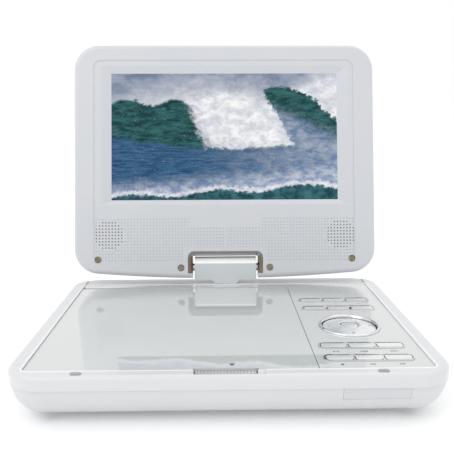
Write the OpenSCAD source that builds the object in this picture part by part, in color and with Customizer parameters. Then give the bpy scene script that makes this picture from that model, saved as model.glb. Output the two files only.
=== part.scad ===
// Portable disc player with a swivelling screen: design source, millimetres, +Z up,
// front (user side) towards -Y. Origin: centre of the base's flat underside.

/* [Body] */
// Width of the base
body_w = 203; // [180:1:230]
// Depth of the base
body_d = 158; // [145:1:175]
// Plan corner radius of the base
corner_r = 17.5; // [17:0.5:24]
// Height of the rim's crown above the underside
rim_z = 23; // [22:0.5:26]
// Height of the parting line between the two base shells
part_z = 16.5; // [16.2:0.1:17]
// Radius of the rounded lower shell
bowl_r = 16.2; // [14:0.1:16.4]
// Shell wall thickness
wall = 2; // [1.6:0.1:2.4]

/* [Lid] */
// Width of the screen lid
lid_w = 201; // [180:1:228]
// Height of the screen lid
lid_h = 157; // [145:1:175]
// Thickness of the screen lid
lid_t = 16.8; // [14:0.2:18]
// Corner radius of the screen lid
lid_r = 16.5; // [12:0.5:22]
// Rise of the bowed lower edge of the lid towards its corners
bow_s = 3.5; // [2:0.5:8]
// Width of the visible picture
screen_w = 151.8; // [140:0.2:154]
// Height of the visible picture
screen_h = 85.4; // [78:0.2:87]
// Opening angle at rest, from closed
open_angle = 102.7; // [95:0.1:120]

/* [Controls] */
// Length of a row of three buttons
row_w = 42.6; // [38:0.2:46]
// Width of a row of buttons
row_d = 7.6; // [6.5:0.1:8.5]
// Outer radius of the navigation ring
nav_r = 16.2; // [14:0.1:18]
// Middle of the control column
ctrl_x = 65.5; // [64:0.5:68]
// Diameter of the disc that the well takes
disc_d = 120; // [80:1:120]

/* [Hidden] */
$fn = 48;
e = 0.01;
gap = 0.3;
deck_z = rim_z - 0.8;
panel_t = 1.2;
plate_z = deck_z - panel_t;
plate_b = plate_z - 1.8;
strip_z = rim_z - 1;
deck_x = body_w / 2 - 8;
deck_y0 = -body_d / 2 + 7;
deck_y1 = body_d / 2 - 15;
low_in = 0.8;
// tilt and swivel axes
ax_y = body_d / 2 - 7.5;
ax_z = rim_z + 9.4;
lid_lo = 7.3;
half_t = lid_t / 2;
split_t = 2;
lean = open_angle - 90;
// disc bay
disc_x = -27;
disc_y = -8;
well_r = disc_d / 2 + 1.3;
well_z = 14.6;
door_x0 = -deck_x + gap;
door_x1 = 40.2;
door_y0 = deck_y0 + gap;
door_bar_y = 55.2;
door_bar_z = deck_z - 2;
door_b = deck_z - 1.6;
// controls
row_y = [28, 12.8, -44.3, -59.3];
row_pitch = 13.9;
win_w = 13.1;
win_d = 5.6;
nav_y = -16.5;
btn_top = rim_z - 0.2;
open_x = -2;
hook_x = 2;
// drive
hub_z = 17;
rod_y = 22;
rod_z = 11.7;
rod_r = 1.1;
sled_x = disc_x + 30;
gear_m = 0.5;
gear_t1 = 40;
pinion_t = 10;
rack_y = disc_y - 28.2;
rack_p = 3.14159265 * gear_m;
gear_x = sled_x + 14;
gear_r = gear_m * gear_t1 / 2;
pinion_r = gear_m * pinion_t / 2;
gear_y = rack_y - gear_r;
pinion_x = gear_x - gear_r - pinion_r;
// ports
port_x = body_w / 2 - 6.5;
port_z = 10;
board_z = 5;
hp_y = -30;
av_y = -16;
usb_y = 1;
pwr_y = 19;
dc_y = 35;
// colours
c_shell = [0.88, 0.89, 0.90];
c_gloss = [0.86, 0.88, 0.88];
c_chrome = [0.75, 0.76, 0.78];
c_silver = [0.82, 0.83, 0.84];
c_dark = [0.12, 0.12, 0.13];
c_metal = [0.62, 0.63, 0.65];
c_pcb = [0.10, 0.35, 0.20];
c_rubber = [0.16, 0.16, 0.17];
c_bump = [0.62, 0.63, 0.64];

// ---------- helpers ----------
// plan rectangle with round corners
module rr(w, d, r) {
  square([w - 2 * r, d], center = true);
  square([w, d - 2 * r], center = true);
  for (x = [-1, 1], y = [-1, 1])
    translate([x * (w / 2 - r), y * (d / 2 - r)]) circle(r);
}
// a profile carried round a rectangle: x of the profile runs outwards from the corner centres
module around(w, d, r, z0, z1) {
  hx = w / 2 - r;
  hy = d / 2 - r;
  translate([-hx, -hy, z0]) cube([2 * hx, 2 * hy, z1 - z0]);
  for (s = [0, 1]) mirror([s, 0, 0]) {
    translate([hx, hy, 0]) rotate([90, 0, 0]) linear_extrude(2 * hy) children();
    for (t = [0, 1]) mirror([0, t, 0])
      translate([hx, hy, 0]) rotate_extrude(angle = 90) children();
  }
  for (t = [0, 1]) mirror([0, t, 0])
    translate([-hx, hy, 0]) rotate([90, 0, 90]) linear_extrude(2 * hx) children();
}
// slab with an outer edge at x = r, its lower edge rounded by q
module prof_low(r, z0, z1, q) {
  translate([0, z0 + q]) square([r, z1 - z0 - q]);
  translate([0, z0]) square([r - q, q + 0.5]);
  intersection() {
    translate([r - q, z0 + q]) circle(q);
    translate([r - q, z0]) square([q, q]);
  }
}
// the same with its upper edge rounded
module prof_top(r, z0, z1, q) {
  translate([0, z0]) square([r, z1 - z0 - q]);
  translate([0, z1 - q - 0.5]) square([r - q, q + 0.5]);
  intersection() {
    translate([r - q, z1 - q]) circle(q);
    translate([r - q, z1 - q]) square([q, q]);
  }
}
module tube(ro, ri, h) {
  difference() {
    cylinder(r = ro, h = h);
    translate([0, 0, -1]) cylinder(r = ri, h = h + 2);
  }
}
module boss(x, y, z0, z1, ro, ri) {
  translate([x, y, z0]) tube(ro, ri, z1 - z0);
}
module box(x0, x1, y0, y1, z0, z1) {
  translate([x0, y0, z0]) cube([x1 - x0, y1 - y0, z1 - z0]);
}
module bowl(inset, z0, z1, q) {
  r = corner_r - inset;
  around(body_w - 2 * inset, body_d - 2 * inset, r, z0, z1) prof_low(r, z0, z1, q);
}
module crown(inset, z0, z1, q) {
  r = corner_r - inset;
  around(body_w - 2 * inset, body_d - 2 * inset, r, z0, z1) prof_top(r, z0, z1, q);
}
// cross-head screw standing along +Z, head on top
module screw(head_r, shank_r, len) {
  difference() {
    union() {
      cylinder(r = head_r, h = 1.2);
      translate([0, 0, -len]) cylinder(r = shank_r, h = len + 0.1);
    }
    for (a = [0, 90]) rotate([0, 0, a])
      translate([-head_r * 0.62, -0.25, 0.6]) cube([head_r * 1.24, 0.5, 1]);
  }
}
screw_pts = [[-82, -67], [82, -67], [-82, 50], [82, 50]];
key_pts = [[47.5, -51.5], [87, -51.5], [47.5, 20.5], [87, 20.5]];
damper_pts = [[-41, -50], [41, -50], [-41, 21], [41, 21]];
feet_pts = [[-70, -50], [70, -50], [-70, 50], [70, 50]];

// ---------- base shells ----------
module port_holes(c) {
  for (y = [hp_y, av_y]) translate([port_x - 4, y, port_z]) rotate([0, 90, 0]) cylinder(r = 3 + c, h = 6);
  translate([port_x - 4, dc_y, port_z]) rotate([0, 90, 0]) cylinder(r = 3.6 + c, h = 6);
  box(port_x - 4, port_x + 2, usb_y - 6.8 - c, usb_y + 6.8 + c, port_z - 3.1 - c, port_z + 3.1 + c);
  box(port_x - 4, port_x + 2, pwr_y - 4.2, pwr_y + 4.2, port_z - 1.5, port_z + 1.5);
}
module base_lower_shell() color(c_shell) difference() {
  union() {
    difference() {
      bowl(low_in, 0, part_z, bowl_r);
      bowl(low_in + wall, wall, part_z + 1, bowl_r - wall);
      // port bay cut into the right flank
      box(port_x, body_w, -40, 45, -1, part_z + 1);
    }
    // flat wall behind the port bay
    intersection() {
      bowl(low_in, 0, part_z, bowl_r);
      box(port_x - wall, port_x, -42, 47, 0.5, part_z);
    }
    for (y = [-42, 45]) intersection() {
      bowl(low_in, 0, part_z, bowl_r);
      box(port_x - wall, body_w, y, y + wall, 0.5, part_z);
    }
    intersection() {
      bowl(low_in, 0, part_z, bowl_r);
      for (p = screw_pts) translate([p[0], p[1], wall - 1]) cylinder(r = 3.6, h = 8);
    }
    for (x = [52, 84], y = [-48, 41]) translate([x, y, wall - e]) cylinder(r = 2.4, h = board_z - wall);
    // battery bay ribs
    box(-87, -47, 41.6, 43, wall - e, 10);
    box(-87, -47, -51.4, -50, wall - e, 10);
    // rib under the chassis
    box(-40, 40, 27, 28.4, wall - e, 8);
  }
  for (p = screw_pts) {
    translate([p[0], p[1], -1]) cylinder(r = 1.3, h = 12);
    translate([p[0], p[1], -1]) cylinder(r = 2.7, h = 4.6);
  }
  for (p = feet_pts) translate([p[0], p[1], -1]) cylinder(r = 6.1, h = 1.8);
  for (x = [52, 84], y = [-48, 41]) translate([x, y, board_z - 2.4]) cylinder(r = 0.9, h = 3);
  port_holes(0.1);
  // window of the remote receiver
  box(50 - 0.1, 80.1, -body_d / 2 - 1, -body_d / 2 + 8, 10.4, part_z + 1);
  // cooling slots and the blank rating-plate recess
  for (i = [0:9]) box(-34 + i * 6, -31.8 + i * 6, 34, 52, -1, wall + 1);
  translate([0, -26, -1]) linear_extrude(1.4) rr(70, 34, 3);
}
module ir_window() color(c_dark) intersection() {
  difference() {
    bowl(low_in, 0, part_z, bowl_r);
    bowl(low_in + wall, wall, part_z + 1, bowl_r - wall);
  }
  box(50, 80, -body_d / 2 - 1, -body_d / 2 + 8, 10.5, part_z);
}
module row_windows(c, z0, z1) {
  for (y = row_y, i = [-1:1]) translate([ctrl_x + i * row_pitch, y, z0])
    linear_extrude(z1 - z0) rr(win_w + 2 * c, win_d + 2 * c, 1.6);
}
module base_upper_shell() color(c_shell) difference() {
  union() {
    difference() {
      crown(0, part_z, rim_z, 2.6);
      // room for the deck parts
      box(-deck_x, deck_x, deck_y0, deck_y1, plate_z, rim_z + 1);
      // low strip at the back, under the swivelling hinge
      box(-deck_x, deck_x, deck_y1 - 1, body_d / 2 + 1, strip_z, rim_z + 1);
      // inside
      translate([0, 0, part_z - 1]) linear_extrude(plate_b - part_z + 1)
        rr(body_w - 2 * wall, body_d - 2 * wall, corner_r - wall);
    }
    translate([disc_x, disc_y, well_z - 1.2]) cylinder(r = well_r + 1.3, h = plate_b - well_z + 1.3, $fn = 96);
    // lip that locates the lower shell
    translate([0, 0, part_z - 1.4]) linear_extrude(3) difference() {
      rr(body_w - 2 * wall - 2, body_d - 2 * wall - 2, corner_r - wall - 1);
      rr(body_w - 2 * wall - 4.4, body_d - 2 * wall - 4.4, corner_r - wall - 2.2);
      translate([60, 0]) square([100, 100], center = true);
    }
    // swivel boss
    translate([0, ax_y, part_z + 0.1]) cylinder(r = 6.2, h = strip_z - part_z - 0.1);
    for (s = [-1, 1]) translate([s * 10, ax_y - 8, part_z]) cylinder(r = 2.2, h = plate_b - part_z + e);
    // seats of the door pins
    box(-98.6, -deck_x - e, 51.6, 58.4, 16.8, plate_z + 0.6);
    box(door_x1 + gap, 47, 51.6, 58.4, 17.2, plate_b + e);
    for (p = screw_pts) translate([p[0], p[1], 9.2]) cylinder(r = 2.6, h = plate_b - 9.2 + e);
    for (p = damper_pts) translate([p[0], p[1], 11.7])
      cylinder(r = 2.3, h = p[0] > 0 ? plate_b - 11.7 + e : well_z - 11.9);
    for (p = key_pts) translate([p[0], p[1], 16.6]) cylinder(r = 1.9, h = plate_b - 16.6 + e);
    // trough under the door's hinge bar
    box(-deck_x, door_x1 + 2, 52.4, 58.4, 17, plate_b + e);
    // rails under the keys
    for (x = [43.4, 91.4]) box(x, x + 1.2, -66, 40, 16.8, plate_b + e);
  }
  // floor of the door's bed and the disc well
  box(-deck_x, door_x1 + gap, deck_y0, door_bar_y, door_b - 0.4, rim_z);
  translate([disc_x, disc_y, well_z]) cylinder(r = well_r, h = 20, $fn = 96);
  translate([-deck_x, door_bar_y, door_bar_z]) rotate([0, 90, 0])
    cylinder(r = 2.35, h = door_x1 + gap + deck_x);
  box(-deck_x, door_x1 + gap, door_bar_y, door_bar_y + 2.35, door_bar_z, rim_z);
  for (x = [-97, door_x1 - 1]) translate([x, door_bar_y, door_bar_z])
    rotate([0, 90, 0]) cylinder(r = 0.72, h = 8);
  // opening for the pickup and the hub
  translate([disc_x, disc_y, 0]) cylinder(r = 15, h = 18);
  box(disc_x + 8, 36, disc_y - 10, disc_y + 10, 10, well_z + 1);
  // bores
  translate([0, ax_y, 0]) cylinder(r = 4.42, h = 40);
  for (p = screw_pts) translate([p[0], p[1], 5]) cylinder(r = 1.0, h = 12);
  row_windows(0.2, plate_b - 1, rim_z);
  translate([ctrl_x, nav_y, plate_b - 1]) cylinder(r = nav_r - 1.3, h = 10);
  // latch slot, hook hole and scoop of the opening slider
  box(open_x - 14.4, open_x + 14.4, -75.2, -69.3, plate_b - 1, rim_z + 1);
  box(hook_x - 4, hook_x + 4, -69.6, -65.6, plate_b - 1, rim_z);
  translate([open_x + 1.8, -74.4, rim_z + 5.2]) rotate([0, 90, 0]) cylinder(r = 6, h = 32, center = true, $fn = 96);
  for (s = [-1, 1]) translate([s * 68, -75.5, rim_z - 0.8]) linear_extrude(2) rr(5.2, 2.8, 1.3);
}
module control_panel() color(c_gloss) difference() {
  union() {
    translate([0, 0, plate_z]) linear_extrude(panel_t) difference() {
      union() {
        translate([(door_x1 + gap + deck_x - 0.2) / 2, (deck_y0 + deck_y1) / 2])
          rr(deck_x - 0.2 - door_x1 - gap, deck_y1 - deck_y0 - 0.4, 3);
        translate([0, (57.6 + deck_y1 - 0.2) / 2]) rr(2 * deck_x - 0.4, deck_y1 - 0.2 - 57.6, 2);
        translate([door_x1 + gap, 52]) square([8, 11]);
      }
      for (y = row_y) translate([ctrl_x, y]) rr(row_w + 0.2, row_d + 0.2, 3.4);
      translate([ctrl_x, nav_y]) circle(nav_r + 0.1);
    }
  }
}
module row_frames() color(c_chrome) difference() {
  for (y = row_y) translate([ctrl_x, y, plate_z]) linear_extrude(btn_top - plate_z - 0.1) rr(row_w, row_d, 3.3);
  row_windows(0, plate_z - 1, rim_z + 1);
  // soft inner chamfer along each row
  for (y = row_y) translate([ctrl_x, y, btn_top - 0.5]) linear_extrude(1)
    rr(row_w - 1, row_d - 1.2, 2.7);
}
module nav_ring() color(c_chrome) translate([ctrl_x, nav_y, 0]) rotate_extrude($fn = 96) {
  translate([nav_r - 1.6, plate_z]) square([1.6, 1.4]);
  translate([nav_r - 0.8, plate_z + 1.4]) circle(0.8);
}
module key_board() color(c_pcb) {
  difference() {
    box(45, 91, -64, 38, 15.2, 16.6);
    for (p = key_pts) translate([p[0], p[1], 15]) cylinder(r = 1, h = 3);
  }
  color(c_metal) for (y = row_y, i = [-1:1]) translate([ctrl_x + i * row_pitch, y, 16.6 - e])
    cylinder(r1 = 2.2, r2 = 1.4, h = 0.35);
  color(c_metal) for (a = [0:90:270]) translate([ctrl_x, nav_y, 16.6 - e]) rotate([0, 0, a])
    translate([11.5, 0, 0]) cylinder(r1 = 2.2, r2 = 1.4, h = 0.35);
  color(c_metal) translate([ctrl_x, nav_y, 16.6 - e]) cylinder(r1 = 2.2, r2 = 1.4, h = 0.35);
}
module rim_bumpers() color(c_bump) for (s = [-1, 1]) translate([s * 68, -75.5, rim_z - 0.8]) {
  linear_extrude(1.1) rr(5, 2.6, 1.25);
  translate([0, 0, 1.1 - e]) linear_extrude(0.35) rr(4.2, 1.8, 0.85);
}
module feet() color(c_rubber) for (p = feet_pts) translate([p[0], p[1], -2]) {
  cylinder(r1 = 5.4, r2 = 6, h = 0.7);
  translate([0, 0, 0.7 - e]) cylinder(r = 6, h = 2.1);
}
module base_screws() color(c_metal) for (p = screw_pts)
  translate([p[0], p[1], 3.5]) mirror([0, 0, 1]) screw(2.5, 0.95, 12);

// ---------- disc door and its slider ----------
module disc_door() color(c_gloss) difference() {
  union() {
    translate([(door_x0 + door_x1) / 2, (door_y0 + door_bar_y) / 2, door_b])
      linear_extrude(deck_z - door_b) rr(door_x1 - door_x0, door_bar_y - door_y0, 3);
    box(door_x0, door_x1, door_bar_y - 6, door_bar_y, door_b, deck_z);
    translate([door_x0, door_bar_y, door_bar_z]) rotate([0, 90, 0]) cylinder(r = 2, h = door_x1 - door_x0);
    translate([disc_x, disc_y, door_b - 1.2]) tube(56.2, 55, 1.3, $fn = 96);
    translate([disc_x, disc_y, door_b - 1.4]) tube(18.5, 17.2, 1.5);
    // latch hook
    box(hook_x - 3, hook_x + 3, -67.8, -66.6, 16.8, door_b + e);
    box(hook_x - 3, hook_x + 3, -69, -67.7, 16.8, 17.9);
  }
  // room for the slider
  box(open_x - 15, open_x + 15, -80, -69.2, door_b - 1, rim_z);
  for (x = [door_x0 - 1, door_x1 - 6.2]) translate([x, door_bar_y, door_bar_z]) rotate([0, 90, 0])
    cylinder(r = 0.75, h = 7.2);
}
module door_pins() color(c_metal) for (x = [-96.8, door_x1 - 5.6])
  translate([x, door_bar_y, door_bar_z]) rotate([0, 90, 0]) cylinder(r = 0.7, h = x < 0 ? 9 : 12);
module open_button() color(c_silver) difference() {
  union() {
    box(open_x - 13.8, open_x + 13.8, -73, -69.6, plate_z - 0.8, deck_z - 0.9);
    box(open_x - 12, open_x + 12, -72.6, -70, 18.2, plate_z - 0.7);
    // retaining wings below the plate
    box(open_x - 16, open_x + 16, -72.6, -70, 17.7, plate_b - 0.3);
  }
  // finger ribs
  for (i = [0:17]) box(open_x - 13 + i * 1.5, open_x - 12.4 + i * 1.5, -74, -69, deck_z - 1.4, rim_z);
}

// ---------- keys ----------
module key(i, j) color(c_silver) translate([ctrl_x + (i - 1) * row_pitch, row_y[j], 0]) {
  intersection() {
    translate([0, 0, 18.6]) linear_extrude(btn_top - 18.6) rr(win_w - 0.6, win_d - 0.6, 1.3);
    translate([-10, 0, btn_top - 14]) rotate([0, 90, 0]) cylinder(r = 14, h = 20, $fn = 96);
  }
  translate([0, 0, 18.1]) linear_extrude(0.7) rr(win_w - 1.6, win_d + 1.2, 1);
  translate([0, 0, 17.8]) cylinder(r = 1.4, h = 0.5);
}
module btn_top_1() key(0, 0);
module btn_top_2() key(1, 0);
module btn_top_3() key(2, 0);
module btn_menu_1() key(0, 1);
module btn_menu_2() key(1, 1);
module btn_menu_3() key(2, 1);
module btn_play_1() key(0, 2);
module btn_play_2() key(1, 2);
module btn_play_3() key(2, 2);
module btn_skip_1() key(0, 3);
module btn_skip_2() key(1, 3);
module btn_skip_3() key(2, 3);
module nav_pad() color(c_silver) translate([ctrl_x, nav_y, 0]) {
  difference() {
    intersection() {
      translate([0, 0, 20.2]) cylinder(r = nav_r - 2.1, h = 4, $fn = 96);
      translate([0, 0, rim_z + 0.3 - 60]) sphere(60, $fn = 300);
    }
    translate([0, 0, 19]) cylinder(r = 4.9, h = 6);
    // shallow dish round the middle key
    translate([0, 0, rim_z - 0.15]) cylinder(r1 = 5.4, r2 = 7.4, h = 0.7, $fn = 96);
    // direction marks
    for (a = [0:90:270]) rotate([0, 0, a]) translate([0, 0, rim_z - 1.2]) linear_extrude(3)
      polygon([[10.2, -1.1], [12, 0], [10.2, 1.1]]);
  }
  for (a = [0:90:270]) rotate([0, 0, a]) translate([11.5, 0, 17.9]) cylinder(r = 1.3, h = 2.4);
}
module nav_carrier() color(c_rubber) translate([ctrl_x, nav_y, 18.7]) tube(9, 5.9, 1);
module ok_button() color(c_silver) translate([ctrl_x, nav_y, 0]) {
  translate([0, 0, 18.6]) intersection() {
    cylinder(r = 4.5, h = rim_z + 0.1 - 18.6);
    translate([0, 0, rim_z + 0.1 - 18.6 - 20]) sphere(20, $fn = 96);
  }
  translate([0, 0, 18.1]) cylinder(r = 5.4, h = 0.6);
  translate([0, 0, 17.8]) cylinder(r = 1.5, h = 0.4);
}

// ---------- disc drive ----------
module drive_chassis() color(c_metal) difference() {
  union() {
    translate([1.5, -14.5, 9]) linear_extrude(1) rr(93, 79, 4);
    // seats of the guide rods
    for (x = [disc_x + 9, 41], s = [-1, 1]) translate([x, disc_y + s * rod_y - 2.6, 9.9]) cube([3, 5.2, 3.1]);
  }
  for (s = [-1, 1]) translate([disc_x + 5, disc_y + s * rod_y, rod_z]) rotate([0, 90, 0])
    cylinder(r = rod_r + 0.02, h = 80);
  translate([disc_x, disc_y, 8]) cylinder(r = 4.4, h = 4);
  box(disc_x + 13, 40, disc_y - rod_y + 4, disc_y + rod_y - 4, 8, 11);
  for (p = damper_pts) translate([p[0], p[1], 8]) cylinder(r = 2.6, h = 4);
  translate([gear_x, gear_y, 8]) cylinder(r = 1.42, h = 4);
  translate([pinion_x, gear_y, 8]) cylinder(r = 3.2, h = 4);
}
module drive_dampers() color(c_rubber) for (p = damper_pts) translate([p[0], p[1], 0]) {
  difference() {
    union() {
      translate([0, 0, 7.4]) cylinder(r = 3.8, h = 1.6);
      translate([0, 0, 8.9]) cylinder(r = 2.6, h = 1.2);
      translate([0, 0, 10]) cylinder(r = 3.8, h = 1.6);
    }
    translate([0, 0, 7]) cylinder(r = 1.2, h = 6);
  }
}
module spindle_motor() color(c_metal) translate([disc_x, disc_y, 0]) difference() {
  union() {
    translate([0, 0, 5]) cylinder(r = 11, h = 4);
    translate([0, 0, 8.9]) cylinder(r = 4.3, h = 1.2);
    translate([-14, -6, 7.9]) cube([28, 12, 1.1]);
  }
  translate([0, 0, 5.8]) cylinder(r = 1.05, h = 8);
}
module spindle_hub() color(c_dark) translate([disc_x, disc_y, 0]) {
  difference() {
    union() {
      translate([0, 0, 10.6]) cylinder(r = 13.5, h = 3.6);
      translate([0, 0, 14]) cylinder(r1 = 13.5, r2 = 14.2, h = hub_z - 14, $fn = 96);
      translate([0, 0, hub_z - e]) cylinder(r = 7.4, h = 1.9);
      translate([0, 0, hub_z + 1.9 - e]) cylinder(r1 = 7.4, r2 = 5.2, h = 1.1);
    }
    for (a = [0:120:240]) rotate([0, 0, a]) translate([4.2, -1.3, hub_z + 0.6]) cube([4, 2.6, 3]);
  }
  for (a = [0:120:240]) rotate([0, 0, a]) translate([6.2, 0, hub_z + 1.3]) sphere(1.2);
  translate([0, 0, 6.2]) cylinder(r = 1, h = 5);
}
module guide_rods() color(c_chrome) for (s = [-1, 1])
  translate([disc_x + 9, disc_y + s * rod_y, rod_z]) rotate([0, 90, 0]) cylinder(r = rod_r, h = 62);
module gear_ring(n, h) {
  cylinder(r = gear_m * n / 2 - 0.55, h = h);
  for (i = [0:n - 1]) rotate([0, 0, i * 360 / n])
    translate([gear_m * n / 2 - 0.6, 0, 0]) linear_extrude(h)
      polygon([[-0.4, -0.36], [0.6, -0.3], [0.98, -0.12], [0.98, 0.12], [0.6, 0.3], [-0.4, 0.36]]);
}
module pickup_sled() color(c_dark) difference() {
  union() {
    box(sled_x - 9, sled_x + 9, disc_y - rod_y + 3.6, disc_y + rod_y - 3.6, 10.4, 13);
    for (s = [-1, 1])
      box(sled_x - 9, sled_x + 9, disc_y + s * rod_y - 4, disc_y + s * rod_y + (s > 0 ? 3.3 : 4), 10.3, 13.1);
    box(sled_x - 6, sled_x + 4.4, disc_y - 8, disc_y + 8, 12.9, 14.2);
    // toothed rack beside the front rod
    box(sled_x - 16, sled_x + 22, rack_y + 0.6, rack_y + 2.7, 10.4, 12);
    for (i = [-18:4]) translate([gear_x + i * rack_p, rack_y, 10.4]) linear_extrude(1.6)
      polygon([[-0.36, 0.7], [-0.3, 0], [-0.12, -0.38], [0.12, -0.38], [0.3, 0], [0.36, 0.7]]);
  }
  for (s = [-1, 1]) translate([sled_x - 12, disc_y + s * rod_y, rod_z]) rotate([0, 90, 0])
    cylinder(r = rod_r + 0.06, h = 24);
  translate([sled_x, disc_y, 13.4]) cylinder(r = 3.4, h = 2);
}
module pickup_lens() color([0.25, 0.3, 0.55]) translate([sled_x, disc_y, 13.4]) {
  cylinder(r = 3.3, h = 0.9);
  intersection() {
    translate([0, 0, 0.5]) cylinder(r = 2.4, h = 2);
    translate([0, 0, -2.4]) sphere(4.4);
  }
}
module feed_gear() color([0.9, 0.9, 0.86]) translate([gear_x, gear_y, 0]) {
  translate([0, 0, 10.4]) rotate([0, 0, 90 - 180 / gear_t1]) gear_ring(gear_t1, 1.6);
  translate([0, 0, 7.6]) cylinder(r = 1.38, h = 3);
  translate([0, 0, 7.2]) cylinder(r = 2.2, h = 1.4);
}
module feed_pinion() color(c_metal) translate([pinion_x, gear_y, 0]) {
  translate([0, 0, 10.4]) gear_ring(pinion_t, 1.6);
  translate([0, 0, 7.4]) cylinder(r = 0.75, h = 3.2);
}
module feed_motor() color(c_metal) translate([pinion_x, gear_y, 0]) difference() {
  union() {
    translate([0, 0, 2.6]) cylinder(r = 5, h = 6.4);
    translate([0, 0, 8.9]) cylinder(r = 3.1, h = 0.8);
  }
  translate([0, 0, 7]) cylinder(r = 0.8, h = 4);
}

// ---------- boards, battery and sockets ----------
module main_board() color(c_pcb) {
  difference() {
    box(49, 88, -52, 45, board_z, board_z + 1.6);
    for (x = [52, 84], y = [-48, 41]) translate([x, y, board_z - 1]) cylinder(r = 1, h = 4);
  }
  color(c_dark) box(56, 72, -10, 6, board_z + 1.5, board_z + 3.2);
  color(c_dark) box(56, 66, 14, 24, board_z + 1.5, board_z + 3);
  color(c_dark) box(55, 69, -36, -26, board_z + 1.5, board_z + 3);
  color(c_metal) for (y = [30, 37]) translate([60, y, board_z + 1.5]) cylinder(r = 2.6, h = 5.4);
  color(c_metal) box(60, 72, -50, -44, board_z + 1.5, board_z + 4);
  color([0.9, 0.88, 0.8]) box(50, 53.5, -16, 6, board_z + 1.5, board_z + 3.6);
}
module battery_pack() color([0.18, 0.3, 0.55]) {
  for (i = [0:1]) translate([-75.6 + i * 18.6, 0, 0]) {
    translate([-8.9, -49.6, 2.6]) linear_extrude(8.6) translate([8.9, 45.6]) rr(17.8, 91, 3);
  }
  box(-70, -62, -49.5, 41.4, 3, 5);
}
module barrel_jack(y, ro, ri, w, pinr) {
  difference() {
    union() {
      box(port_x - 14.5, port_x - wall - 0.1, y - w / 2, y + w / 2, board_z + 1.6, port_z + 3.6);
      translate([port_x - 4, y, port_z]) rotate([0, 90, 0]) cylinder(r = ro, h = 4);
    }
    translate([port_x - 12, y, port_z]) rotate([0, 90, 0]) cylinder(r = ri, h = 20);
  }
  if (pinr > 0) translate([port_x - 12.4, y, port_z]) rotate([0, 90, 0]) cylinder(r = pinr, h = 11);
}
module headphone_jack() color(c_dark) barrel_jack(hp_y, 3, 1.77, 8, 0);
module av_jack() color([0.85, 0.75, 0.2]) barrel_jack(av_y, 3, 1.77, 8, 0);
module dc_jack() color(c_dark) barrel_jack(dc_y, 3.6, 2.75, 9, 0.65);
module usb_port() color(c_metal) {
  difference() {
    box(port_x - 14, port_x - 0.1, usb_y - 6.6, usb_y + 6.6, port_z - 3, port_z + 3);
    box(port_x - 12.8, port_x + 1, usb_y - 6.1, usb_y + 6.1, port_z - 2.5, port_z + 2.5);
  }
  for (s = [-1, 1]) translate([port_x - 12, usb_y + s * 6.2 - 0.4, board_z + 1.6]) cube([9, 0.8, 1]);
  color(c_dark) box(port_x - 13, port_x - 1.8, usb_y - 5.3, usb_y + 5.3, port_z + 0.3, port_z + 1.9);
}
module power_slider() color(c_dark) {
  box(port_x - 5, port_x + 1.3, pwr_y - 3.6, pwr_y - 0.6, port_z - 1.1, port_z + 1.1);
  box(port_x - 5, port_x - wall - 0.35, pwr_y - 7, pwr_y + 3, port_z - 2, port_z + 2);
}

// ---------- swivel and tilt hinge ----------
module swivel_bush() color(c_metal) difference() {
  union() {
    translate([0, ax_y, 14.4]) cylinder(r = 4.4, h = strip_z - 14.5);
    box(-13, 13, ax_y - 12.5, ax_y - 2, 14.4, 16.4);
  }
  translate([0, ax_y, 10]) cylinder(r = 3.26, h = 30);
  for (s = [-1, 1]) translate([s * 10, ax_y - 8, 10]) cylinder(r = 1.1, h = 6);
}
module swivel_shaft() color(c_metal) difference() {
  union() {
    translate([0, ax_y, 13]) cylinder(r = 3.2, h = ax_z - 4.4 - 13);
    translate([0, ax_y, 12.9]) cylinder(r = 3.9, h = 1.2);
    // cradle under the tilt axle
    box(-12, 12, ax_y - 3.6, ax_y + 3.6, ax_z - 5.4, ax_z - 4);
    for (s = [-1, 1]) translate([s * 10 - 1, ax_y - 3.6, ax_z - 5]) cube([2, 7.2, 8]);
  }
  translate([0, ax_y, 9]) cylinder(r = 2.2, h = 30);
  translate([-15, ax_y, ax_z]) rotate([0, 90, 0]) cylinder(r = 2.55, h = 30);
}
module tilt_axle() color(c_chrome) translate([0, ax_y, ax_z]) rotate([0, 90, 0]) difference() {
  union() {
    for (s = [-1, 1]) translate([0, 0, s * 19.4 - 14.4]) cylinder(r = 2.5, h = 28.8);
  }
  translate([0, 0, -36]) cylinder(r = 1.6, h = 72);
}
blk_x = 20.6;
blk_y = 6;
blk_r = 7.2;
module block_solid(inset) {
  intersection() {
    union() {
      translate([-blk_x + inset, ax_y, ax_z]) rotate([0, 90, 0])
        cylinder(r = blk_r - inset, h = 2 * (blk_x - inset));
      box(-blk_x + inset, blk_x - inset, ax_y - blk_r, ax_y + blk_r, rim_z + 2.2 + inset, ax_z);
    }
    box(-blk_x, blk_x, ax_y - blk_y + inset, ax_y + blk_y - inset, rim_z, ax_z + 20);
  }
}
module neck(inset) {
  translate([0, ax_y + blk_y - inset, 0]) rotate([90, 0, 0]) linear_extrude(2 * (blk_y - inset))
    polygon([[-7 + inset, strip_z + 0.6], [7 - inset, strip_z + 0.6], [10 - inset, rim_z + 2.6],
      [10 - inset, rim_z + 3.4], [-10 + inset, rim_z + 3.4], [-10 + inset, rim_z + 2.6]]);
}
module hinge_shell() difference() {
  union() {
    block_solid(0);
    neck(0);
  }
  block_solid(1.5);
  translate([0, ax_y, 20]) cylinder(r = 4.6, h = 8);
  box(-8, 8, ax_y - 4.3, ax_y + 4.3, rim_z + 1.6, rim_z + 6);
  translate([-30, ax_y, ax_z]) rotate([0, 90, 0]) cylinder(r = 2.56, h = 60);
}
module hinge_cover_front() color(c_shell) intersection() {
  hinge_shell();
  box(-30, 30, ax_y - 20, ax_y - 0.05, 20, 60);
}
module hinge_cover_rear() color(c_shell) intersection() {
  hinge_shell();
  box(-30, 30, ax_y + 0.05, ax_y + 20, 20, 60);
}
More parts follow.
